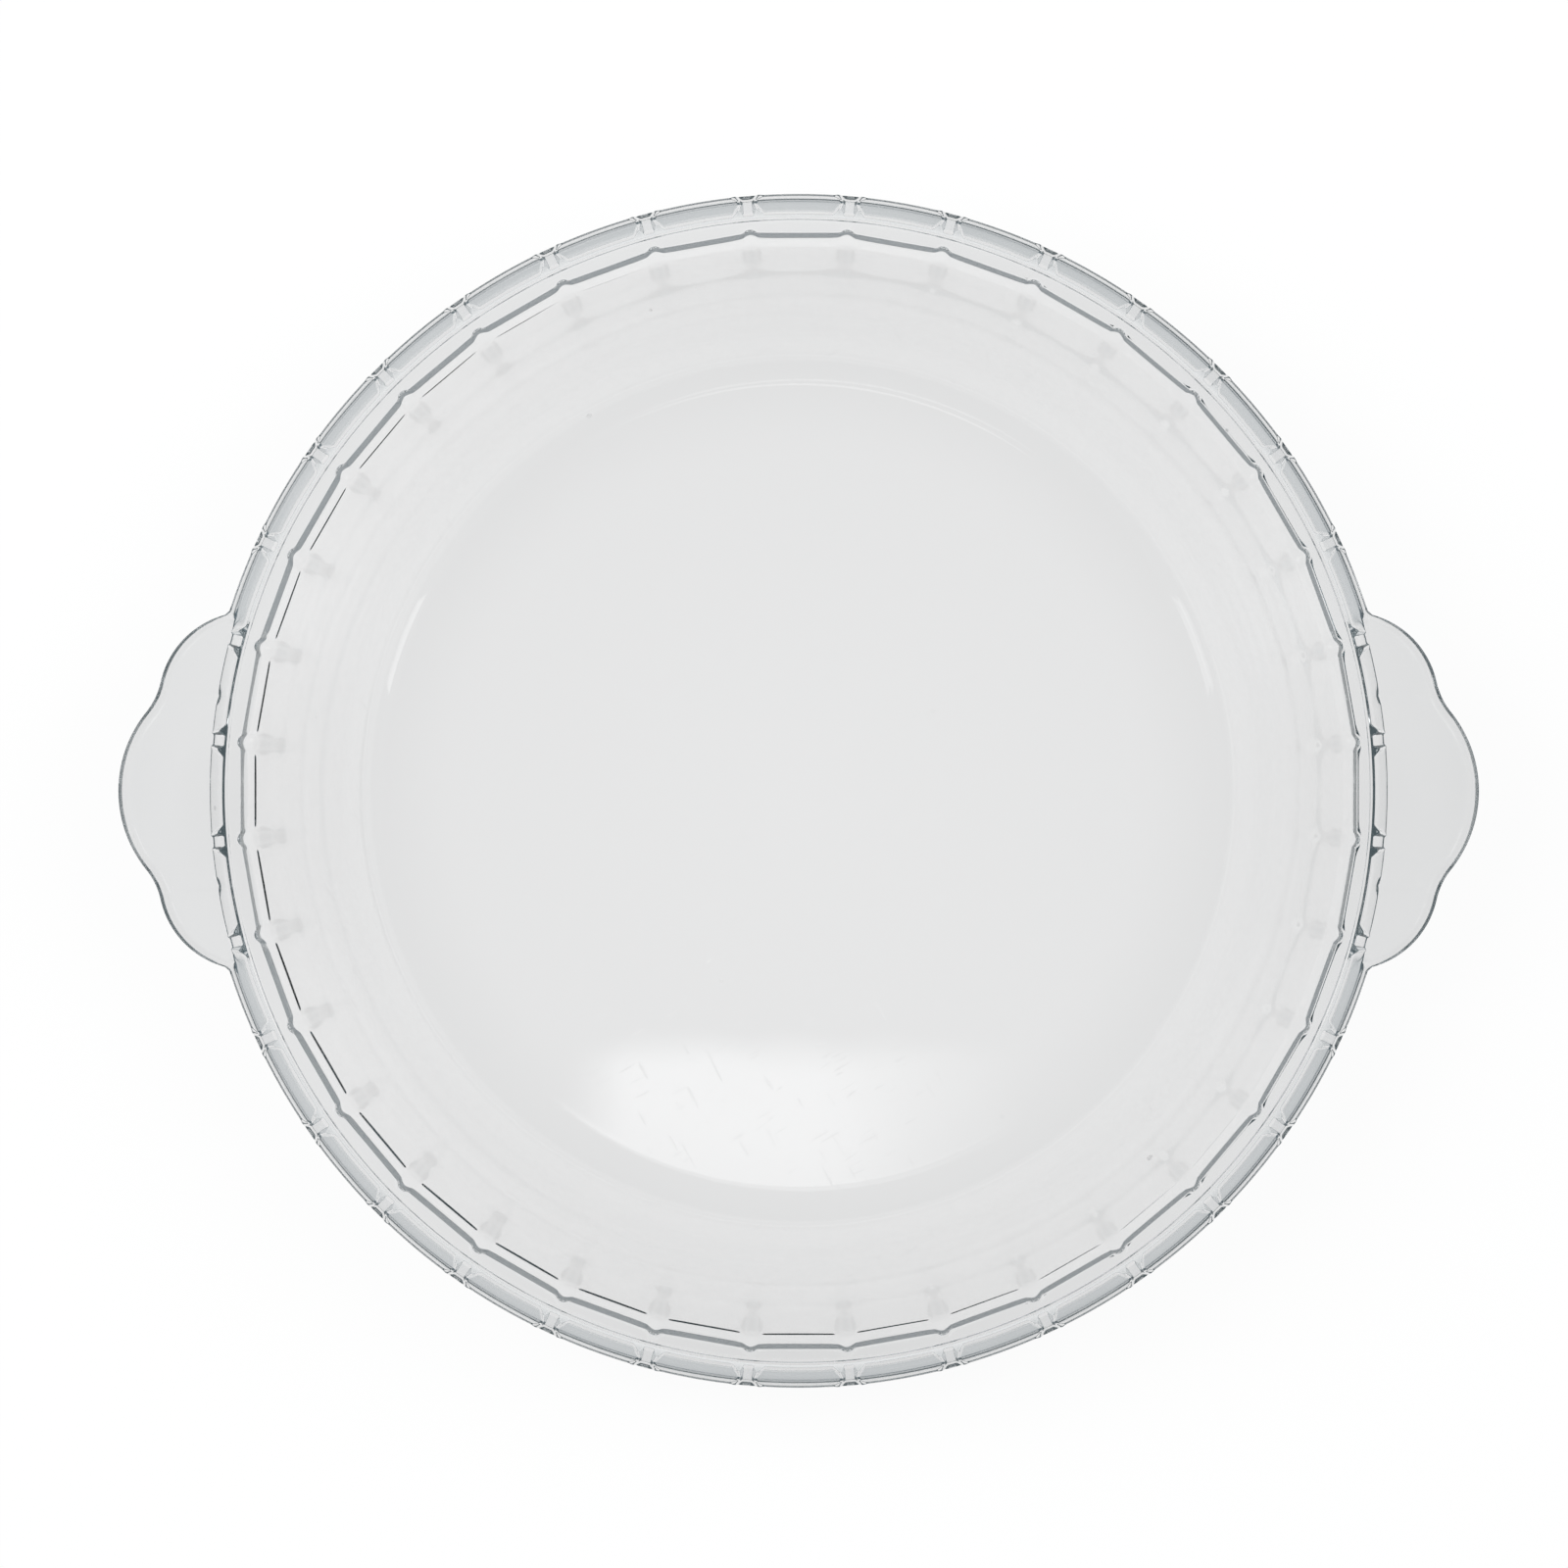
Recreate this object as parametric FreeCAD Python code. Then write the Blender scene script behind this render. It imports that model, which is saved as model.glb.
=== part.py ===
import FreeCAD, Part
import math
import os

# Round pie dish pressed from clear glass, with a fluted mouth, a notched rim and two lobed plate handles.
# The real dish is one pressing: each region below is a closed solid that meets the next face to face.
# The dish stands on z = 0 with its axis on Z, and the handles point along +X and -X.

# Driving dimensions of the dish, in millimetres
dish_height = 45.0
mouth_diameter = 247.6
floor_thickness = 5.0
wall_thickness = 4.8
wall_lean = 34.0  # degrees from vertical
heel_inside_radius = 15.0
heel_outside_radius = 12.0

# Rim: a flat land round the mouth, then a skirt that falls to a short upright edge
land_width = 4.6
skirt_width = 5.1
skirt_drop = 7.0
rim_edge_height = 2.0
mouth_lip_radius = 2.0
rim_root_radius = 2.0

# Thumb flutes inside the mouth and notches in the skirt, one of each at every step round the rim
flute_count = 36
flute_radius = 4.2
flute_depth = 1.6
flute_top_distance = 4.3  # from the mouth down the wall to the middle of the flute's round end
flute_length = 12.2  # from that middle down the wall to where the flute runs out
collar_margin = 2.5  # plain wall left below the flutes
notch_radius = 1.7
notch_depth = 1.2
notch_top_distance = 1.9  # from the ridge down the skirt to the middle of the notch's round end

# Handles: flat plates with one wide lobe between two smaller ones
handle_reach = 18.5
handle_step = 4.2  # from the land down to the handle's top
centre_lobe_radius = 28.0
side_lobe_radius = 20.0
side_lobe_offset = 20.0
side_lobe_inset = 10.5  # from the rim's edge in to the middle of the side lobe
handle_neck_radius = 16.0
handle_edge_radius = 1.9
edge_radius_share = 0.45  # most of the plate's thickness that one rounded edge may take
grip_rib_width = 2.2
grip_rib_height = 0.5
grip_rib_reach = 5.8
grip_rib_offset = 21.0

overrun = 1.0  # how far cutting tools run past what they cut
same_place = 1e-6  # points nearer than this are one point

# Derived sizes
lean = math.radians(wall_lean)
mouth_radius = mouth_diameter / 2
ridge_radius = mouth_radius + land_width
rim_radius = ridge_radius + skirt_width
rim_height = skirt_drop + rim_edge_height
rim_underside = dish_height - rim_height
skirt_foot = dish_height - skirt_drop
skirt_angle = math.atan2(skirt_drop, skirt_width)
handle_top = dish_height - handle_step
handle_thickness = handle_top - rim_underside
wall_width = wall_thickness / math.cos(lean)
corner_share = math.tan((math.pi / 2 - lean) / 2)  # of a radius, from a corner to where its rounding starts

axis_up = FreeCAD.Vector(0, 0, 1)
centre = FreeCAD.Vector(0, 0, 0)


def section_point(radius, height):
    """A point of the dish's cross-section, in the plane of X and Z."""
    return FreeCAD.Vector(radius, 0, height)


def inside_radius(height):
    """Radius of the wall's inside face at a height."""
    return mouth_radius - (dish_height - height) * math.tan(lean)


def outside_radius(height):
    """Radius of the wall's outside face at a height."""
    return inside_radius(height) + wall_width


def line(start, end):
    return Part.LineSegment(start, end).toShape()


def arc_about(middle, radius, first_angle, last_angle):
    """Arc in the section plane, with its angles from +X towards +Z."""
    points = []
    for angle in (first_angle, (first_angle + last_angle) / 2, last_angle):
        reach = section_point(radius * math.cos(angle), radius * math.sin(angle))
        points.append(middle + reach)
    return Part.Arc(*points).toShape()


def ends(edge):
    return edge.valueAt(edge.FirstParameter), edge.valueAt(edge.LastParameter)


def revolved(pieces):
    """Turn a closed section about Z. Points and arcs are joined in order by straight lines."""
    edges = []
    first = None
    last = None
    for piece in pieces:
        is_edge = isinstance(piece, Part.Shape)
        begin, finish = ends(piece) if is_edge else (piece, piece)
        if last is not None and not last.isEqual(begin, same_place):
            edges.append(line(last, begin))
        if is_edge:
            edges.append(piece)
        first = begin if first is None else first
        last = finish
    edges.append(line(last, first))
    return Part.Face(Part.Wire(edges)).revolve(centre, axis_up, 360)


def ball_groove(radius, begin, finish):
    """Tool with a round nose at begin, running straight to finish."""
    along = finish - begin
    shaft = Part.makeCylinder(radius, along.Length, begin, along)
    return shaft.fuse(Part.makeSphere(radius, begin))


def around_rim(tool):
    """One copy of a tool at every step round the rim, the first half a step from the handle's axis."""
    copies = []
    for index in range(flute_count):
        copy = tool.copy()
        copy.rotate(centre, axis_up, (index + 0.5) * 360 / flute_count)
        copies.append(copy)
    return copies


# Heel roundings, shared by the floor, the heel and the wall
inside_corner = inside_radius(floor_thickness)
inside_heel_setback = heel_inside_radius * corner_share
inside_heel_middle = section_point(inside_corner - inside_heel_setback, floor_thickness + heel_inside_radius)
inside_heel = arc_about(inside_heel_middle, heel_inside_radius, -math.pi / 2, -lean)
outside_corner = outside_radius(0)
outside_heel_setback = heel_outside_radius * corner_share
outside_heel_middle = section_point(outside_corner - outside_heel_setback, heel_outside_radius)
outside_heel = arc_about(outside_heel_middle, heel_outside_radius, -lean, -math.pi / 2)
floor_radius = min(inside_heel_middle.x, outside_heel_middle.x)
heel_top = max(ends(inside_heel)[1].z, ends(outside_heel)[0].z)

# Heights where the wall changes region
flute_drop = (flute_top_distance + flute_length) * math.cos(lean)
collar_foot = dish_height - max(rim_height, flute_drop) - collar_margin


def dish_floor():
    """Flat disc that the dish stands on."""
    return Part.makeCylinder(floor_radius, floor_thickness)


def floor_heel():
    """Ring that turns the floor up into the wall."""
    return revolved([
        section_point(floor_radius, floor_thickness),
        inside_heel,
        section_point(inside_radius(heel_top), heel_top),
        section_point(outside_radius(heel_top), heel_top),
        outside_heel,
        section_point(floor_radius, 0),
    ])


def side_wall():
    """Plain sloping wall between the heel and the collar."""
    return revolved([
        section_point(inside_radius(heel_top), heel_top),
        section_point(inside_radius(collar_foot), collar_foot),
        section_point(outside_radius(collar_foot), collar_foot),
        section_point(outside_radius(heel_top), heel_top),
    ])


def thumb_flute():
    """Tool for one flute: its round nose is deepest, and it runs out of the wall lower down."""
    down_wall = section_point(-math.sin(lean), -math.cos(lean))
    off_wall = section_point(-math.cos(lean), math.sin(lean))
    mouth = section_point(mouth_radius, dish_height)
    nose = mouth + down_wall * flute_top_distance + off_wall * (flute_radius - flute_depth)
    run_out = mouth + down_wall * (flute_top_distance + flute_length) + off_wall * flute_radius
    return ball_groove(flute_radius, nose, run_out + (run_out - nose).normalize() * overrun)


def fluted_collar():
    """Top of the wall with the flat land round the mouth, fluted inside."""
    lip_middle = section_point(mouth_radius + mouth_lip_radius * corner_share, dish_height - mouth_lip_radius)
    lip = arc_about(lip_middle, mouth_lip_radius, math.pi - lean, math.pi / 2)
    root_corner = outside_radius(rim_underside)
    root_middle = section_point(root_corner + rim_root_radius * corner_share, rim_underside - rim_root_radius)
    root = arc_about(root_middle, rim_root_radius, math.pi / 2, math.pi - lean)
    blank = revolved([
        section_point(inside_radius(collar_foot), collar_foot),
        lip,
        section_point(ridge_radius, dish_height),
        section_point(ridge_radius, rim_underside),
        root,
        section_point(outside_radius(collar_foot), collar_foot),
    ])
    return blank.cut(around_rim(thumb_flute()))


def skirt_notch():
    """Tool for one notch: a round-nosed groove straight down the skirt and off its edge."""
    down_skirt = section_point(math.cos(skirt_angle), -math.sin(skirt_angle))
    off_skirt = section_point(math.sin(skirt_angle), math.cos(skirt_angle))
    ridge = section_point(ridge_radius, dish_height)
    nose = ridge + down_skirt * notch_top_distance + off_skirt * (notch_radius - notch_depth)
    skirt_length = math.hypot(skirt_width, skirt_drop)
    past_edge = rim_edge_height + overrun
    return ball_groove(notch_radius, nose, nose + down_skirt * (skirt_length + past_edge))


def notched_ring(inner_radius):
    """The rim from a radius out to the skirt's face, with all its notches."""
    blank = revolved([
        section_point(inner_radius, rim_underside),
        section_point(inner_radius, dish_height),
        section_point(ridge_radius, dish_height),
        section_point(rim_radius, skirt_foot),
        section_point(rim_radius, rim_underside),
    ])
    return blank.cut(around_rim(skirt_notch()))


def rim_skirt():
    """Notched ring that falls from the ridge to the rim's edge."""
    return notched_ring(ridge_radius)


def handle_outline():
    """Plan of the right handle: wide lobe, necks and side lobes as tangent arcs, closed inside the rim."""
    centre_x = rim_radius + handle_reach - centre_lobe_radius
    side_x = rim_radius - side_lobe_inset
    # The neck's middle lies one neck radius outside both lobes
    gap = math.hypot(side_x - centre_x, side_lobe_offset)
    toward_x = (side_x - centre_x) / gap
    toward_y = side_lobe_offset / gap
    centre_arm = centre_lobe_radius + handle_neck_radius
    side_arm = side_lobe_radius + handle_neck_radius
    along = (centre_arm ** 2 - side_arm ** 2 + gap ** 2) / (2 * gap)
    across = math.sqrt(centre_arm ** 2 - along ** 2)
    neck_x = centre_x + toward_x * along + toward_y * across
    neck_y = toward_y * along - toward_x * across
    centre_angle = math.atan2(neck_y, neck_x - centre_x)
    side_angle = math.atan2(neck_y - side_lobe_offset, neck_x - side_x)

    def plan_arc(middle_x, middle_y, radius, first_angle, last_angle):
        points = []
        for angle in (first_angle, (first_angle + last_angle) / 2, last_angle):
            x = middle_x + radius * math.cos(angle)
            y = middle_y + radius * math.sin(angle)
            points.append(FreeCAD.Vector(x, y, rim_underside))
        return Part.Arc(*points).toShape()

    neck_first = centre_angle - math.pi
    neck_last = side_angle - math.pi
    arcs = [
        plan_arc(side_x, -side_lobe_offset, side_lobe_radius, -math.pi / 2, -side_angle),
        plan_arc(neck_x, -neck_y, handle_neck_radius, -neck_last, -neck_first),
        plan_arc(centre_x, 0, centre_lobe_radius, -centre_angle, centre_angle),
        plan_arc(neck_x, neck_y, handle_neck_radius, neck_first, neck_last),
        plan_arc(side_x, side_lobe_offset, side_lobe_radius, side_angle, math.pi / 2),
    ]
    closing = line(ends(arcs[-1])[1], ends(arcs[0])[0])
    return Part.Wire(arcs + [closing])


def grip_rib(side):
    """Low rib with a round outer end, running out of the skirt across the handle's top."""
    half_width = grip_rib_width / 2
    length = skirt_width + grip_rib_reach - half_width
    height = handle_thickness / 2 + grip_rib_height
    level = handle_top + grip_rib_height - height
    middle = side * grip_rib_offset
    bar = Part.makeBox(length, grip_rib_width, height, FreeCAD.Vector(ridge_radius, middle - half_width, level))
    nose = Part.makeCylinder(half_width, height, FreeCAD.Vector(ridge_radius + length, middle, level))
    return bar.fuse(nose)


def right_handle():
    """Plate handle with rounded edges and two grip ribs, seated against the skirt."""
    plate = Part.Face(handle_outline()).extrude(axis_up * handle_thickness)
    rounding = min(handle_edge_radius, handle_thickness * edge_radius_share)
    level_edges = []
    for edge in plate.Edges:
        start, finish = ends(edge)
        is_level = abs(start.z - finish.z) < rounding / 2
        is_outline = isinstance(edge.Curve, Part.Circle)
        if is_level and is_outline:
            level_edges.append(edge)
    rounded = plate.makeFillet(rounding, level_edges)
    whole = rounded.fuse([grip_rib(-1), grip_rib(1)])
    return whole.cut(notched_ring(inside_radius(rim_underside))).removeSplitter()


handle = right_handle()
opposite_handle = handle.copy()
opposite_handle.rotate(centre, axis_up, 180)

nodes = {
    "dish_floor": dish_floor(),
    "floor_heel": floor_heel(),
    "side_wall": side_wall(),
    "fluted_collar": fluted_collar(),
    "rim_skirt": rim_skirt(),
    "right_handle": handle,
    "left_handle": opposite_handle,
}

os.makedirs("parts", exist_ok=True)
for name, shape in nodes.items():
    shape.exportStep("parts/" + name + ".step")
    print(name, len(shape.Solids), "solid", round(shape.Volume), "cubic mm", "valid" if shape.isValid() else "BROKEN")
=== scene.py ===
"""Round pie dish of clear pressed glass, with a fluted mouth, a notched rim and two lobed plate handles."""

import math

import bpy
import numpy as np
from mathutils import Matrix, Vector


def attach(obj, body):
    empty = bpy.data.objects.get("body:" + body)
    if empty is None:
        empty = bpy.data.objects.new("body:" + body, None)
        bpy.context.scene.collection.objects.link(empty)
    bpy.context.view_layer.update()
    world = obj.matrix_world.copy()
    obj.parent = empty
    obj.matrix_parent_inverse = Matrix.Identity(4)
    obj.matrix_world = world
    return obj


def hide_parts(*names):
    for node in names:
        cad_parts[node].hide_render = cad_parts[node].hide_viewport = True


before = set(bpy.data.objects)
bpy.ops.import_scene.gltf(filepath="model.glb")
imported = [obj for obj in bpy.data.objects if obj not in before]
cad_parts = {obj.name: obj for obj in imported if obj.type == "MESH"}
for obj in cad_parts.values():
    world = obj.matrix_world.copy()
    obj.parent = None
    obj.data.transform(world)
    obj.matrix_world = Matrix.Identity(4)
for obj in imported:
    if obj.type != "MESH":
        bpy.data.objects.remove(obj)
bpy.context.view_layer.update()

# Inside of the dish: a flat floor, a heel that bends up gently and a sloping wall, all pressed by the plunger.
# Under the mouth stands a steeper band of 36 flat facets on a small ledge, with a thumb flute at each corner.
# Lengths are in millimetres until the mesh is made.
dish_height = 45.0
floor_thickness = 5.0
floor_edge = 92.3
heel_inside_radius = 10.0
heel_inside_reach = 8.0
band_foot_radius = 121.65
band_foot_height = 38.8
ledge_start = 112.0
ledge_run = 8.0
ledge_width = 0.18
ledge_change = 0.28
ledge_widest = math.radians(215)
ledge_least = 0.03
ledge_softness = 0.12
mouth_radius = 124.2
lip_softness = 0.15
facet_foot_radius = 113.0
facet_end_radius = 127.6
facet_end_run = 3.0
flute_count = 36
flute_half_turn = 2.1
flute_path = ((123.6, 46.2, 2.05), (119.1, 40.5, 4.0), (110.6, 30.6, 4.0))
flute_edge_softness = 0.35
pressing_draft = math.radians(7)

flute_step = 360 / flute_count
wall_run = band_foot_radius - ledge_width - floor_edge
wall_rise = band_foot_height - floor_thickness - heel_inside_radius
wall_lean = math.atan2(wall_run, wall_rise) - math.asin(heel_inside_radius / math.hypot(wall_run, wall_rise))
band_lean = math.atan2(mouth_radius - band_foot_radius, dish_height - band_foot_height)
inside_corner = floor_edge + heel_inside_radius * math.tan((math.pi / 2 - wall_lean) / 2)


def columns_round(half_turn, spacing):
    """Angles of columns all round the dish: close over each flute or notch, and wider apart between two."""
    close = np.arange(-half_turn, half_turn + spacing / 3, spacing)
    apart = np.linspace(half_turn, flute_step - half_turn, 13)[1:-1]
    one_step = np.concatenate([close, apart])
    columns = np.concatenate([(count + 0.5) * flute_step + one_step for count in range(flute_count)])
    return np.unique(np.round(columns % 360, 3))


plain_columns = np.arange(0, 360, 1.0)
fine_columns = columns_round(flute_half_turn, 0.15)
fine_angle = np.radians(fine_columns)
from_flute = np.radians((fine_columns % flute_step) - flute_step / 2)

rings = []


def add_ring(columns, radius, height):
    """Add the next ring of the skin, going from the floor's middle out over the rim and back under the base."""
    angle = np.radians(columns)
    radius = np.broadcast_to(radius, angle.shape)
    height = np.broadcast_to(height, angle.shape)
    rings.append((columns, np.stack([radius * np.cos(angle), radius * np.sin(angle), height], 1)))


def soft_min(first, second, softness):
    """The lower of two heights, with the corner between them rounded."""
    return (first + second - np.sqrt((first - second) ** 2 + softness ** 2)) / 2


def soft_max(first, second, softness):
    """The higher of two heights, with the corner between them rounded."""
    return -soft_min(-first, -second, softness)


def smooth_step(value):
    """Ease from 0 to 1 while the value goes from 0 to 1."""
    value = np.clip(value, 0, 1)
    return value * value * (3 - 2 * value)


def pressed_groove(radius, across, path):
    """Height that a round-nosed tool leaves when it is pressed straight down along a path of nose radii."""
    steep = math.pi / 2 - pressing_draft
    lowest = np.full(np.broadcast(radius, across).shape, 1e3)
    for start, end in zip(path[:-1], path[1:]):
        for share in np.linspace(0, 1, 33):
            nose_radius, nose_height, nose = [a + (b - a) * share for a, b in zip(start, end)]
            apart = np.hypot(radius - nose_radius, across)
            ball = np.sqrt(np.maximum(nose ** 2 - apart ** 2, 0))
            flank = nose * math.cos(steep) - (apart - nose * math.sin(steep)) * math.tan(steep)
            sunk = np.where(apart < nose * math.sin(steep), ball, flank)
            lowest = np.minimum(lowest, nose_height - sunk)
    return lowest


def inside_section(radius, ledge_here):
    """Height of the wall, the small ledge at the facets' foot, the steep band and the land."""
    wall = band_foot_height - (band_foot_radius - ledge_here - radius) / math.tan(wall_lean)
    band = dish_height - (mouth_radius - radius) / math.tan(band_lean)
    ledge = soft_min(wall, band_foot_height, ledge_softness)
    return soft_min(soft_max(ledge, band, ledge_softness), dish_height, lip_softness)


def gentle_heel(corner_radius, corner_height, reach, lean):
    """Radius and height along the turn from a flat up into a leaning wall, whose bend comes and goes gently."""
    rise = np.array([math.sin(lean), math.cos(lean)]) * reach
    run = np.array([-reach, 0.0])
    places = []
    for share in np.linspace(0, 1, 24):
        rest = 1 - share
        flat_part = rest ** 4 + 2 * rest ** 3 * share
        wall_part = share ** 4 + 2 * share ** 3 * rest
        places.append(np.array([corner_radius, corner_height]) + run * flat_part + rise * wall_part)
    return places


def corner_bulge(angle_from_corner):
    """How much further out than the facets' flat middles the mouth lies, most at the corners."""
    return mouth_radius / np.cos(math.radians(flute_step / 2) - np.abs(angle_from_corner)) - mouth_radius


def along_facets(radius):
    """Radius of every column on a ring that follows the facets near the mouth and is round elsewhere."""
    share = smooth_step((radius - facet_foot_radius) / (band_foot_radius - facet_foot_radius))
    return radius + corner_bulge(from_flute) * share * smooth_step((facet_end_radius - radius) / facet_end_run)


for inset in (7, 4):
    add_ring(plain_columns, floor_edge - inset, floor_thickness)
inside_heel = gentle_heel(inside_corner, floor_thickness, heel_inside_reach, wall_lean)
for radius, height in inside_heel:
    add_ring(plain_columns, radius, height)
for radius in np.linspace(inside_heel[-1][0], ledge_start - 0.5, 5)[1:]:
    add_ring(plain_columns, radius, inside_section(radius, ledge_width))
band_rings = np.concatenate([
    np.linspace(ledge_start, 119.7, 26), np.linspace(120.0, 121.1, 4), np.linspace(121.2, 122.0, 14),
    np.linspace(122.1, 125.0, 34), np.linspace(125.3, 127.55, 6)])
for step in band_rings:
    radius = along_facets(step)
    flute = pressed_groove(radius, radius * np.sin(from_flute), flute_path)
    ledge_more = ledge_change * np.cos(fine_angle - ledge_widest) * smooth_step((step - ledge_start) / ledge_run)
    ledge_here = np.maximum(ledge_width + ledge_more, ledge_least)
    add_ring(fine_columns, radius, soft_min(inside_section(step, ledge_here), flute, flute_edge_softness))

# Rim: a flat land round the mouth that turns down into a skirt, pressed between the mould's ring and its body.
# Long panels are sunk in the skirt, and the web left between two panels has a straight notch down its middle.
ridge_radius = 128.2
rim_radius = 133.4
ridge_softness = 0.25
panel_slope = 1.19
panel_end_shares = (-0.2, 0.0, 0.35, 0.62, 0.8, 0.95, 1.1)
panel_end_offsets = (3.9, 3.7, 2.7, 1.75, 2.3, 3.7, 4.5)
flank_slope = 2.0
web_foot_height = 40.6
web_drop_start = 0.45
web_drop_run = 0.3
web_softness = 0.1
notch_half_turn = 2.07
notch_width = 2.1
notch_slope = 1.42
edge_lip_width = 0.5
edge_lip_softness = 0.12

rim_columns = columns_round(notch_half_turn, 0.09)


def notched_skirt(radius):
    """Height of the rim's top on every column, from the land out to the edge."""
    share = (radius - ridge_radius) / (rim_radius - ridge_radius)
    across = np.abs(radius * np.sin(from_notch))
    panel_end = np.interp(share, panel_end_shares, panel_end_offsets)
    panel = dish_height - (radius - ridge_radius) * panel_slope + flank_slope * np.maximum(panel_end - across, 0)
    notch = dish_height - (radius - ridge_radius) * notch_slope
    notch = notch + flank_slope * np.maximum(across - notch_width / 2, 0)
    web = dish_height - (dish_height - web_foot_height) * smooth_step((share - web_drop_start) / web_drop_run)
    skirt = soft_min(web, soft_min(panel, notch, web_softness), web_softness)
    lip = dish_height - (rim_radius - edge_lip_width - ridge_radius) * panel_slope
    return soft_max(soft_min(skirt, dish_height, ridge_softness), lip, edge_lip_softness)


# Handles: two flat plates pressed in one with the rim, each with a wide lobe between two smaller ones.
# Their tops lie a little below the land and bevel down to a thin flat lip at the edge.
# Two low grip ribs run out on each.
handle_top = 41.3
handle_tip = 151.97
handle_root = 132.0
centre_lobe_radius = 28.0
side_lobe_radius = 20.0
side_lobe_middle = (123.0, 20.0)
neck_radius = 16.0
bevel_width = 2.4
bevel_drop = 1.5
grip_rib_width = 2.2
grip_rib_height = 0.8
grip_rib_offset = 21.0
grip_rib_tip = 139.3
rib_edge_width = 0.08
rib_middle_radius = 137.0
rib_middle_angle = 8.8
rib_half_angle = 1.6
rib_angle_run = 0.5
rib_start, rib_start_run = 132.2, 0.8
rib_end, rib_end_run = 143.0, 2.0
plate_root_softness = 0.5
plate_root_run = 4.0
plate_seam_softness = 0.05
plate_seam_more = 0.35
plate_seam_run = 2.0
edge_rounding = 0.12
edge_probe = 0.2
edge_steepest = -1.6
skirt_foot_height = 33.8
handle_foot_rise = 1.5
skirt_under_rounding = 1.6
handle_under_rounding = 2.5

# Columns are added along the ribs' edges, so that the edges come out straight and sharp
rib_sides = np.array([-1, -1, 1, 1]) * grip_rib_width / 2 + np.array([-1, 1, -1, 1]) * rib_edge_width / 2
rib_edges = np.degrees(np.arcsin((grip_rib_offset + rib_sides) / rib_middle_radius))
rib_columns = np.concatenate([rib_edges, -rib_edges, 180 - rib_edges, 180 + rib_edges]) % 360
clear_of_ribs = np.abs(rim_columns[:, None] - rib_columns[None, :]).min(1) > 0.06
rim_columns = np.sort(np.append(rim_columns[clear_of_ribs], rib_columns))
rim_angle = np.radians(rim_columns)
from_notch = np.radians((rim_columns % flute_step) - flute_step / 2)
from_handle = (rim_angle + math.pi / 2) % math.pi - math.pi / 2
beside_handle = np.abs(from_handle)


def circle_reach(middle_x, middle_y, radius, far):
    """Where a ray from the dish's axis along each column meets a circle, on its far or its near side."""
    along = middle_x * np.cos(beside_handle) + middle_y * np.sin(beside_handle)
    inner = along ** 2 - middle_x ** 2 - middle_y ** 2 + radius ** 2
    half = np.sqrt(np.maximum(inner, 0))
    return np.where(inner > 0, along + half if far else along - half, 0)


# The neck between two lobes is a circle that touches both from outside
centre_lobe_middle = handle_tip - centre_lobe_radius
side_x, side_y = side_lobe_middle
lobe_gap = math.hypot(side_x - centre_lobe_middle, side_y)
gap_x = (side_x - centre_lobe_middle) / lobe_gap
gap_y = side_y / lobe_gap
to_centre = centre_lobe_radius + neck_radius
to_side = side_lobe_radius + neck_radius
neck_along = (to_centre ** 2 - to_side ** 2 + lobe_gap ** 2) / (2 * lobe_gap)
neck_across = math.sqrt(to_centre ** 2 - neck_along ** 2)
neck_x = centre_lobe_middle + gap_x * neck_along + gap_y * neck_across
neck_y = gap_y * neck_along - gap_x * neck_across
neck_start = math.atan2(neck_y * centre_lobe_radius / to_centre,
                        centre_lobe_middle + (neck_x - centre_lobe_middle) * centre_lobe_radius / to_centre)
neck_finish = math.atan2(side_y + (neck_y - side_y) * side_lobe_radius / to_side,
                         side_x + (neck_x - side_x) * side_lobe_radius / to_side)
in_neck = (beside_handle > neck_start) & (beside_handle < neck_finish)
lobes = np.maximum(circle_reach(centre_lobe_middle, 0, centre_lobe_radius, True),
                   circle_reach(side_x, side_y, side_lobe_radius, True))
handle_outline = np.where(in_neck, circle_reach(neck_x, neck_y, neck_radius, False), lobes)

edge_reach = soft_max(rim_radius, handle_outline, plate_root_softness)
on_handle = smooth_step((edge_reach - rim_radius) / plate_root_run)
under_rounding = skirt_under_rounding + (handle_under_rounding - skirt_under_rounding) * on_handle
skirt_foot = skirt_foot_height + handle_foot_rise * on_handle


def beside_ribs(radius):
    """Column angles on the handles, turned a little so that columns run straight along the grip ribs."""
    straight = np.arcsin(np.clip(rib_middle_radius * np.sin(beside_handle) / radius, 0, 1)) - beside_handle
    close = smooth_step((rib_half_angle - np.abs(np.degrees(beside_handle) - rib_middle_angle)) / rib_angle_run)
    close = close * smooth_step((radius - rib_start) / rib_start_run)
    close = close * smooth_step((rib_end - radius) / rib_end_run)
    return rim_angle + straight * close * np.sign(from_handle)


def rim_top(radius):
    """Height of the rim and the handles' tops on every column."""
    into_bevel = np.clip(handle_outline - edge_lip_width - radius, 0, bevel_width)
    plate = handle_top - bevel_drop * smooth_step(1 - into_bevel / bevel_width)
    plate = np.where(radius < handle_outline, plate, 0)
    angle = beside_ribs(radius)
    along = np.abs(radius * np.cos(angle))
    aside = np.abs(np.abs(radius * np.sin(angle)) - grip_rib_offset)
    past_tip = np.maximum(along - grip_rib_tip + grip_rib_width / 2, 0)
    rib = smooth_step((grip_rib_width / 2 - np.hypot(aside, past_tip)) / rib_edge_width + 0.5)
    plate = plate + grip_rib_height * rib * (radius < handle_outline)
    seam = plate_seam_softness + plate_seam_more * smooth_step((radius - ridge_radius) / plate_seam_run)
    return soft_max(notched_skirt(radius), plate, seam)


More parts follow.
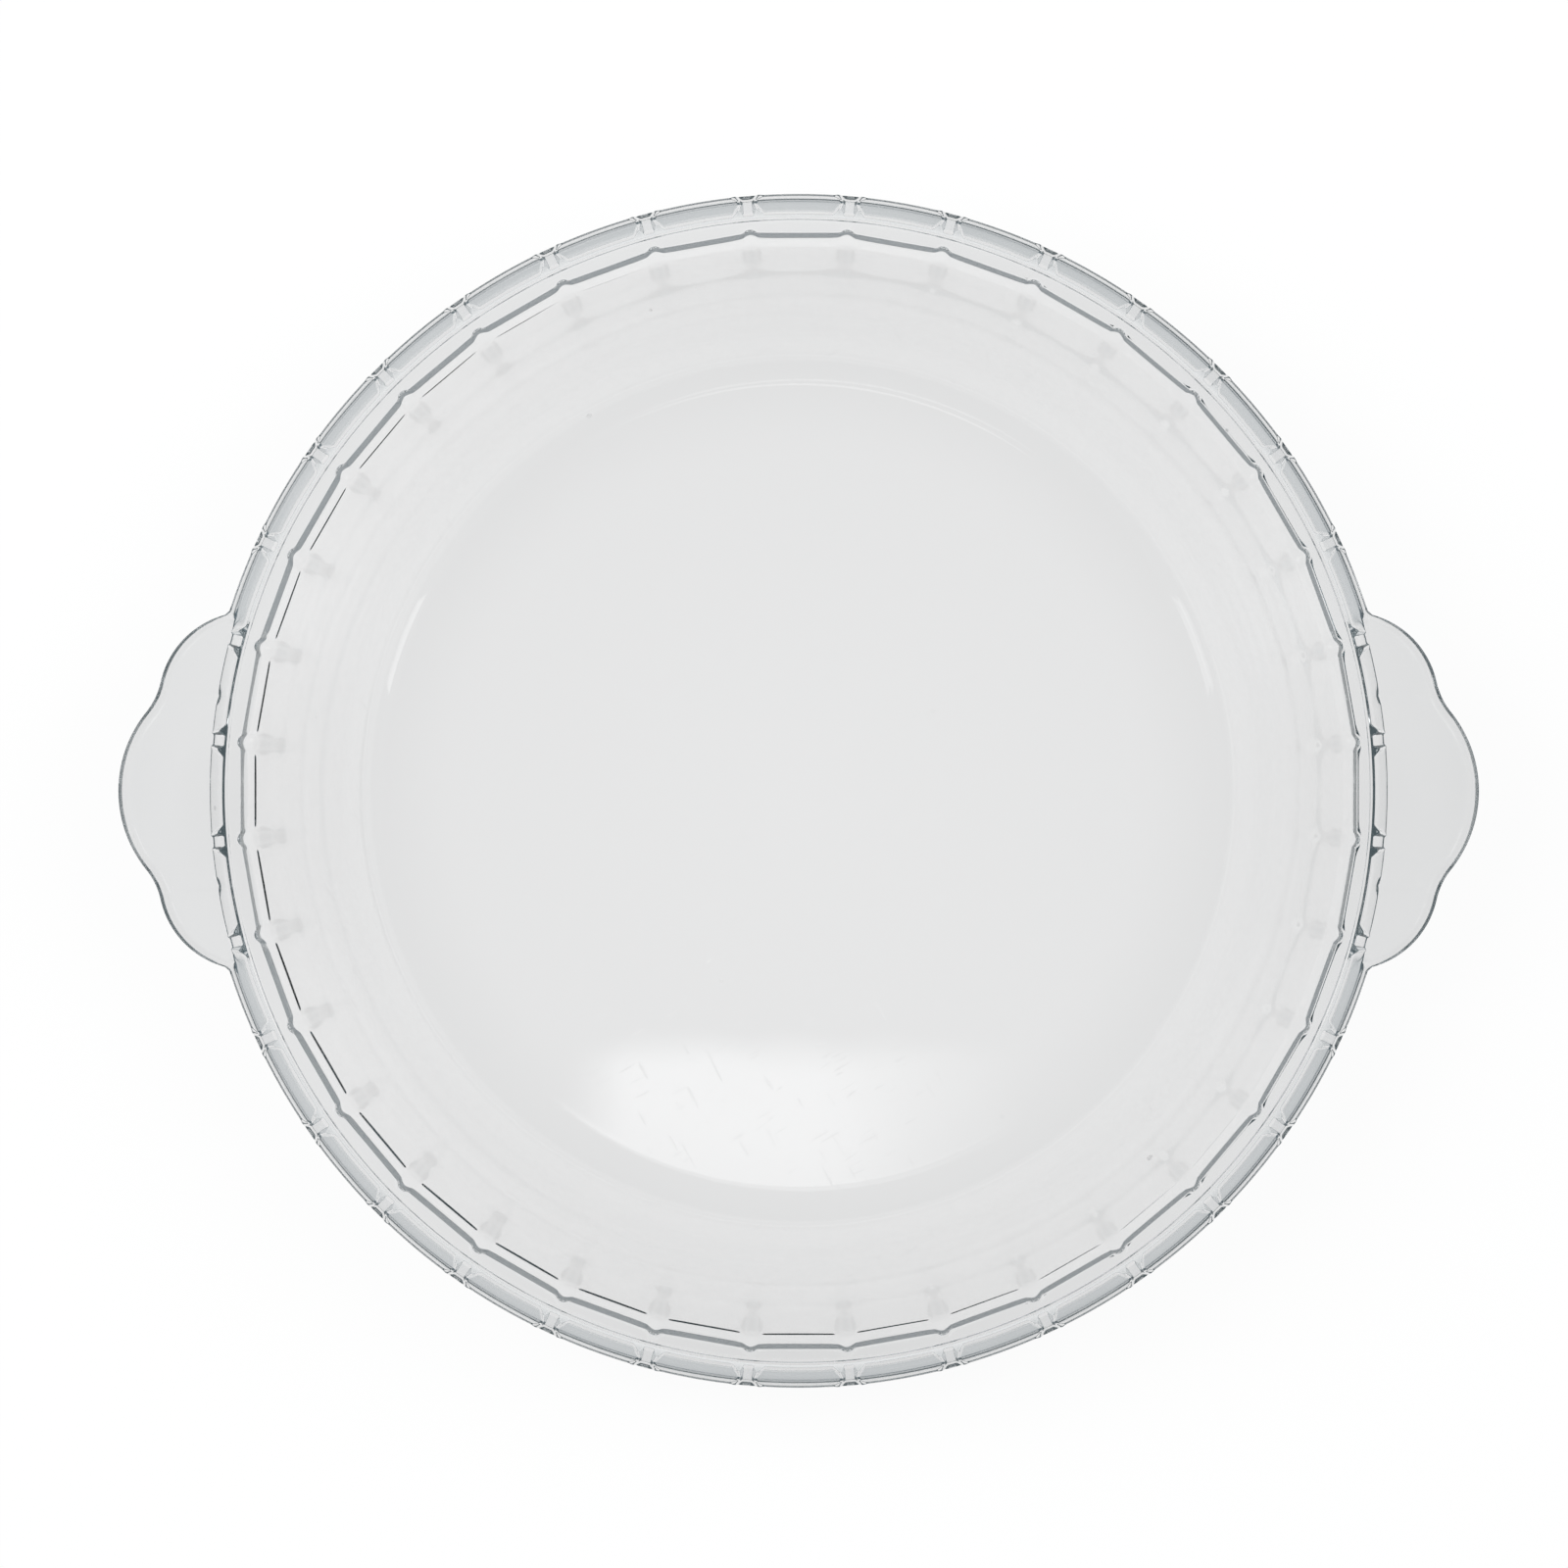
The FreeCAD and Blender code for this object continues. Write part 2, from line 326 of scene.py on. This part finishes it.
for radius in np.concatenate([np.linspace(127.65, 128.9, 15), np.linspace(129.05, handle_root, 19)]):
    add_ring(rim_columns, radius, rim_top(np.full_like(rim_angle, radius)))
for share in np.linspace(0, 1, 27)[1:]:
    radius = handle_root + (edge_reach - edge_rounding - handle_root) * share
    add_ring(np.degrees(beside_ribs(radius)), radius, rim_top(radius))
edge_top = rings[-1][1][:, 2]
inside_edge = rim_top(edge_reach - edge_rounding - edge_probe)
edge_slope = np.clip((edge_top - inside_edge) / edge_probe, edge_steepest, 0)
corner_top = edge_top + edge_slope * edge_rounding
for share in np.linspace(0, 1, 7)[1:]:
    keep = (1 - share) ** 2
    add_ring(rim_columns, edge_reach - edge_rounding * keep,
             keep * edge_top + 2 * share * (1 - share) * corner_top + share ** 2 * (corner_top - edge_rounding))
for turn in np.linspace(0, math.pi / 2, 9):
    add_ring(rim_columns, edge_reach - under_rounding * (1 - math.cos(turn)),
             skirt_foot + under_rounding * (1 - math.sin(turn)))

# Outside of the dish: the rim's hollow underside, a short collar, the wall's outside, its heel and the flat base.
# The mould's body shapes it, set a little to one side of the plunger, so the glass is thicker on the right.
# The collar has a shallow boss behind each flute, and faint flow rings run round the wall.
rim_underside = 40.2
underside_end = 127.35
underside_slope = 1.63
handle_slope_less = 0.33
underside_softness = 0.25
foot_inside = 131.3
collar_radius = 124.4
root_softness = 0.25
boss_depth = 0.8
boss_width = 4.2
boss_run = 4.0
boss_end_gap = 0.6
wall_outside_lean = math.radians(31.5)
heel_outside_reach = 10.0
flow_ring_height = 0.035
flow_ring_spacing = 7.5
mould_offset = 0.5

plain_angle = np.radians(plain_columns)
rim_shift = mould_offset * np.cos(rim_angle)
wall_shift = mould_offset * np.cos(plain_angle)


def rim_under(radius):
    """Height of the skirt's foot, its sloping inside and the flat underside of the land."""
    sloped = rim_underside + (underside_end - radius) * (underside_slope - handle_slope_less * on_handle)
    return soft_min(rim_underside, soft_max(skirt_foot, sloped, underside_softness), underside_softness)


boss = corner_bulge(from_notch) + boss_depth * np.exp(-(2 * collar_radius * from_notch / boss_width) ** 2)
collar_reach = collar_radius + root_softness + boss + rim_shift
underside_start = edge_reach - under_rounding
for share in np.linspace(0, 1, 5)[1:]:
    radius = underside_start + (foot_inside - underside_start) * share
    add_ring(rim_columns, radius, rim_under(radius))
for share in np.linspace(0, 1, 22)[1:]:
    radius = foot_inside + (collar_reach - foot_inside) * share
    add_ring(rim_columns, radius, rim_under(radius))
for turn in np.linspace(0, math.pi / 2, 6)[1:]:
    add_ring(rim_columns, collar_reach - root_softness * math.sin(turn),
             rim_underside - root_softness * (1 - math.cos(turn)))
collar_foot = rim_underside - root_softness
for share in np.linspace(0, 1, 8)[1:]:
    radius = collar_radius - boss_run * share * math.tan(wall_outside_lean) + boss * (1 - smooth_step(share))
    add_ring(rim_columns, radius + rim_shift, collar_foot - boss_run * share)

outside_corner = collar_radius - collar_foot * math.tan(wall_outside_lean)
outside_heel = gentle_heel(outside_corner, 0.0, heel_outside_reach, wall_outside_lean)[::-1]
heel_top_radius, heel_top_height = outside_heel[0]
wall_top_height = collar_foot - boss_run - boss_end_gap
wall_top_radius = collar_radius - (boss_run + boss_end_gap) * math.tan(wall_outside_lean)
wall_length = math.hypot(wall_top_radius - heel_top_radius, wall_top_height - heel_top_height)
ring_drift = 0.7 * np.sin(2 * plain_angle + math.radians(40)) + 0.5 * np.sin(5 * plain_angle)
for share in np.linspace(0, 1, 44)[:-1]:
    ripple = flow_ring_height * np.sin(2 * math.pi * wall_length * share / flow_ring_spacing + ring_drift)
    ripple = ripple * smooth_step(4 * share) * smooth_step(4 * (1 - share))
    radius = wall_top_radius + (heel_top_radius - wall_top_radius) * share + ripple * math.cos(wall_outside_lean)
    height = wall_top_height + (heel_top_height - wall_top_height) * share - ripple * math.sin(wall_outside_lean)
    add_ring(plain_columns, radius + wall_shift, height)
base_edge = outside_heel[-1][0]
base_rings = [(base_edge - inset, 0) for inset in (0.6, 3)]
for radius, height in outside_heel + base_rings:
    add_ring(plain_columns, radius + wall_shift, height)

# The pressing: the rings of inside, rim, handles and outside, joined into one closed skin of glass.
# The real dish is one piece, so the skin has no seam where one region meets the next.
points = np.concatenate([places for columns, places in rings]) * 0.001
starts = np.cumsum([0] + [len(columns) for columns, places in rings]).tolist()
faces = [list(range(starts[0], starts[1]))]
for index in range(len(rings) - 1):
    inner, outer = rings[index][0], rings[index + 1][0]
    inner_start, outer_start = starts[index], starts[index + 1]
    if len(inner) == len(outer):
        count = len(inner)
        for column in range(count):
            after = (column + 1) % count
            faces.append([inner_start + column, outer_start + column, outer_start + after, inner_start + after])
        continue
    # Rings of different counts are zipped together with triangles
    first, second = 0, 0
    while first < len(inner) or second < len(outer):
        next_first = inner[first + 1] if first + 1 < len(inner) else 360 + inner[0]
        next_second = outer[second + 1] if second + 1 < len(outer) else 360 + outer[0]
        here, there = inner_start + first % len(inner), outer_start + second % len(outer)
        if second == len(outer) or (first < len(inner) and next_first <= next_second):
            first += 1
            faces.append([here, there, inner_start + first % len(inner)])
        else:
            second += 1
            faces.append([here, there, outer_start + second % len(outer)])
faces.append(list(range(starts[-1] - 1, starts[-2] - 1, -1)))

dish_mesh = bpy.data.meshes.new("glass_dish")
dish_mesh.from_pydata(points.tolist(), [], faces)
dish_mesh.validate()
dish_mesh.shade_smooth()
dish = bpy.data.objects.new("glass_dish", dish_mesh)
bpy.context.scene.collection.objects.link(dish)

# Glass: clear, with a faint cool tint in its depth, left as it comes from the mould and not polished.
# Its skin has slow waves and a few small seeds, and the floor has fine scratches from use.
# Lengths are in metres from here on.
glass_tone = (0.9175, 0.9155, 0.9155, 1)
glass_bend = 1.48
depth_tint = (0.74, 0.86, 0.90, 1)
depth_density = 6.0
wave_sizes_heights = ((0.045, 0.11), (0.016, 0.012))
seeds_per_metre = 62.0
seed_rarity, seed_largest = 0.8, 0.05
seed_sink, seed_dullness = 0.03, 0.5
scratch_runs = ((0.5, 0.0009, 0.009), (2.1, 0.0007, 0.007))
scratch_rarity, scratch_softness = 0.79, 0.05
scratch_top, scratch_full = 0.03, 0.02
scratch_sink, scratch_dullness = 0.006, 0.15

glass = bpy.data.materials.new("clear_pressed_glass")
glass.use_nodes = True
nodes, links = glass.node_tree.nodes, glass.node_tree.links
skin = nodes["Principled BSDF"]
skin.inputs["Base Color"].default_value = glass_tone
skin.inputs["Transmission Weight"].default_value = 1
skin.inputs["IOR"].default_value = glass_bend
skin.inputs["Roughness"].default_value = 0.0
on_dish = nodes.new("ShaderNodeTexCoord").outputs["Object"]


def joined(operation, first, second):
    """Join two values of the material being made, the second a socket or a plain number."""
    sum_node = nodes.new("ShaderNodeMath")
    sum_node.operation = operation
    links.new(first, sum_node.inputs[0])
    if isinstance(second, float):
        sum_node.inputs[1].default_value = second
    else:
        links.new(second, sum_node.inputs[1])
    return sum_node.outputs[0]


def rising(value, start, full, top=1.0, curve="LINEAR"):
    """A value of the material being made, raised from nothing at the start to its top where it is full."""
    span = nodes.new("ShaderNodeMapRange")
    span.interpolation_type = curve
    span.inputs["From Min"].default_value = start
    span.inputs["From Max"].default_value = full
    span.inputs["To Max"].default_value = top
    links.new(value, span.inputs["Value"])
    return span.outputs["Result"]


def parts_of(vector):
    """The three parts of a place or a colour."""
    split = nodes.new("ShaderNodeSeparateXYZ")
    links.new(vector, split.inputs["Vector"])
    return split.outputs


def soft_noise(vector, scale):
    """Slow noise without fine detail."""
    noise = nodes.new("ShaderNodeTexNoise")
    noise.inputs["Scale"].default_value = scale
    noise.inputs["Detail"].default_value = 0.0
    links.new(vector, noise.inputs["Vector"])
    return noise.outputs["Fac"]


def floor_scratches(turn, width, length):
    """Fine straight scratches of one direction, in short lengths scattered over the floor."""
    turned = nodes.new("ShaderNodeMapping")
    turned.vector_type = "TEXTURE"
    turned.inputs["Rotation"].default_value = (0, 0, turn)
    turned.inputs["Scale"].default_value = (width, length, length)
    links.new(on_dish, turned.inputs["Vector"])
    streak = soft_noise(turned.outputs["Vector"], 1.0)
    line = rising(streak, scratch_rarity, scratch_rarity + scratch_softness, curve="SMOOTHSTEP")
    return joined("MULTIPLY", line, low_down)


def weighed_sum(terms):
    """Sum of several values of the material being made, each with its own weight."""
    total = None
    for value, weight in terms:
        weighed = joined("MULTIPLY", value, weight)
        total = weighed if total is None else joined("ADD", total, weighed)
    return total


low_down = rising(parts_of(on_dish)["Z"], scratch_top, scratch_full)
waves = [(soft_noise(on_dish, 1 / size), height) for size, height in wave_sizes_heights]
seed_cells = nodes.new("ShaderNodeTexVoronoi")
seed_cells.inputs["Scale"].default_value = seeds_per_metre
links.new(on_dish, seed_cells.inputs["Vector"])
seed_reach = rising(parts_of(seed_cells.outputs["Color"])["X"], seed_rarity, 1.0, top=seed_largest)
seed = joined("LESS_THAN", seed_cells.outputs["Distance"], seed_reach)
scratches = [floor_scratches(*run) for run in scratch_runs]
relief = nodes.new("ShaderNodeBump")
relief.inputs["Strength"].default_value = 1.0
relief.inputs["Distance"].default_value = 0.001
sunk_marks = [(seed, -seed_sink)] + [(line, -scratch_sink) for line in scratches]
links.new(weighed_sum(waves + sunk_marks), relief.inputs["Height"])
links.new(relief.outputs["Normal"], skin.inputs["Normal"])
dull_marks = [(seed, seed_dullness)] + [(line, scratch_dullness) for line in scratches]
links.new(weighed_sum(dull_marks), skin.inputs["Roughness"])
depth = nodes.new("ShaderNodeVolumeAbsorption")
depth.inputs["Color"].default_value = depth_tint
depth.inputs["Density"].default_value = depth_density
links.new(depth.outputs["Volume"], nodes["Material Output"].inputs["Volume"])
dish_mesh.materials.append(glass)

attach(dish, "root")
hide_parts("dish_floor", "floor_heel", "side_wall", "fluted_collar",
            "rim_skirt", "right_handle", "left_handle")

# Table: a plain sheet that shows white to the eye and keeps the dish's shadow.
# Seen through the glass it glows with a painted pool of light, white under the dish; its fall-off is painted
# shade standing in for the dish's soft shadow, ending in a dim grey about 30 cm out, and past it the colour is
# painted shade.
table_half_width = 4.0
table_drop = 0.0003
sheet_tone = (0.8, 0.8, 0.8, 1)
# Painted shade: the sheet's colour far from the dish, dim grey to every ray but the camera's
painted_shade_tone = (0.11, 0.135, 0.15, 1)
# Painted pool of light round the dish, by distance from it; its fall-off is a painted shadow of the dish
painted_pool_falloff = ((0.08, 0.98), (0.15, 0.79), (0.2, 0.46), (0.262, 0.39), (0.294, 0.04))
painted_pool_end = 0.34
white_part = 0.94

table_corners = [(side * table_half_width, end * table_half_width, 0)
                 for side, end in ((-1, -1), (1, -1), (1, 1), (-1, 1))]
table_mesh = bpy.data.meshes.new("table")
table_mesh.from_pydata(table_corners, [], [(0, 1, 2, 3)])
table = bpy.data.objects.new("table", table_mesh)
table.location.z = -table_drop
bpy.context.scene.collection.objects.link(table)

paper = bpy.data.materials.new("white_table")
paper.use_nodes = True
nodes, links = paper.node_tree.nodes, paper.node_tree.links
nodes.clear()
ray_kind = nodes.new("ShaderNodeLightPath")
seen_straight = ray_kind.outputs["Is Camera Ray"]
seen_by_glass = joined("MAXIMUM", ray_kind.outputs["Is Transmission Ray"], ray_kind.outputs["Is Glossy Ray"])
from_middle = nodes.new("ShaderNodeVectorMath")
from_middle.operation = "LENGTH"
links.new(nodes.new("ShaderNodeTexCoord").outputs["Object"], from_middle.inputs[0])
falloff = nodes.new("ShaderNodeValToRGB")
falloff.color_ramp.elements[0].color = (1, 1, 1, 1)
falloff.color_ramp.elements[1].position = painted_pool_end
falloff.color_ramp.elements[1].color = (0, 0, 0, 1)
for reach, level in painted_pool_falloff:
    falloff.color_ramp.elements.new(reach).color = (level, level, level, 1)
links.new(from_middle.outputs["Value"], falloff.inputs["Fac"])
near = falloff.outputs["Color"]

# The sheet's colour: white near the dish and to the camera, painted dim shade farther out
tone = nodes.new("ShaderNodeMix")
tone.data_type = "RGBA"
tone.inputs["A"].default_value = painted_shade_tone
tone.inputs["B"].default_value = sheet_tone
links.new(joined("MAXIMUM", near, seen_straight), tone.inputs["Factor"])
shade = nodes.new("ShaderNodeBsdfDiffuse")
links.new(tone.outputs["Result"], shade.inputs["Color"])
# Glow that shows the sheet evenly white to the camera, and to the glass as the painted pool of light
white = nodes.new("ShaderNodeEmission")
white.inputs["Strength"].default_value = 1.0
backdrop_and_painted_pool = joined("MAXIMUM", seen_straight, joined("MULTIPLY", seen_by_glass, near))
blend = nodes.new("ShaderNodeMixShader")
links.new(joined("MULTIPLY", backdrop_and_painted_pool, white_part), blend.inputs["Fac"])
links.new(shade.outputs["BSDF"], blend.inputs[1])
links.new(white.outputs["Emission"], blend.inputs[2])
surface = nodes.new("ShaderNodeOutputMaterial")
links.new(blend.outputs["Shader"], surface.inputs["Surface"])
table_mesh.materials.append(paper)

# Studio: a dim grey room with two large soft boxes overhead and two small ones at the sides.
# A narrow box hangs above the front of the dish, and its soft-edged glow shows on the floor.
room_tone = (0.085, 0.11, 0.12, 1)
overhead_powers = ((-1, 28), (1, 20))
side_power = 0.6
front_power = 0.1
front_reach = -0.155
front_edges = (("X", 0.03, 0.2), ("X", 1.0, 0.5), ("Y", 1.0, 0.75))

room = bpy.data.worlds.new("dim_room")
bpy.context.scene.world = room
room.use_nodes = True
room.node_tree.nodes["Background"].inputs["Color"].default_value = room_tone
room.node_tree.nodes["Background"].inputs["Strength"].default_value = 1.0


def soft_box(name, place, aim, width, height, power):
    """Hang a soft box at a place and turn it to what it lights."""
    lamp = bpy.data.lights.new(name, "AREA")
    lamp.shape = "RECTANGLE"
    lamp.size = width
    lamp.size_y = height
    lamp.energy = power
    holder = bpy.data.objects.new(name, lamp)
    holder.location = place
    holder.rotation_euler = (Vector(aim) - Vector(place)).to_track_quat("-Z", "Y").to_euler()
    bpy.context.scene.collection.objects.link(holder)
    return holder


for side, power in overhead_powers:
    overhead = soft_box("overhead_box", place=(side * 1.0, 0.3, 1.3), aim=(0, 0, 0),
                        width=0.9, height=1.4, power=power)
    overhead.visible_glossy = False
    overhead.visible_transmission = False
    soft_box("side_box", place=(side * 1.2, -0.45, 1.0), aim=(0, 0, 0),
             width=0.3, height=0.5, power=side_power)
front = soft_box("front_box", place=(0.0, front_reach, 1.25), aim=(0, front_reach, 0),
                 width=0.23, height=0.085, power=front_power)
front.data.use_nodes = True
nodes, links = front.data.node_tree.nodes, front.data.node_tree.links
across_box = parts_of(nodes.new("ShaderNodeNewGeometry").outputs["Parametric"])
edges = [rising(across_box[socket], start, full, curve="SMOOTHSTEP") for socket, start, full in front_edges]
glow = edges[0]
for edge in edges[1:]:
    glow = joined("MULTIPLY", glow, edge)
links.new(glow, nodes["Emission"].inputs["Strength"])

# Camera: straight above the dish, as in the photograph, and taken to be 1.2 m over the rim.
# Light passes many faces of the glass on its way, so its paths are allowed to be long.
camera_height = 1.2
camera_aside = (-0.00327, 0.00153)
photo_pixels = 1600
photo_pixels_per_metre = 4588
frame_width = photo_pixels / photo_pixels_per_metre
film_width = 36
path_length = 24
view = bpy.data.cameras.new("overhead_camera")
camera = bpy.data.objects.new("overhead_camera", view)
bpy.context.scene.collection.objects.link(camera)
camera.location = (*camera_aside, dish_height / 1000 + camera_height)
view.sensor_width = film_width
view.lens = film_width * camera_height / frame_width
bpy.context.scene.camera = camera

paths = bpy.context.scene.cycles
paths.caustics_refractive = False
paths.caustics_reflective = False
paths.max_bounces = path_length
paths.transmission_bounces = path_length
paths.glossy_bounces = path_length
bpy.context.scene.view_settings.view_transform = "Standard"
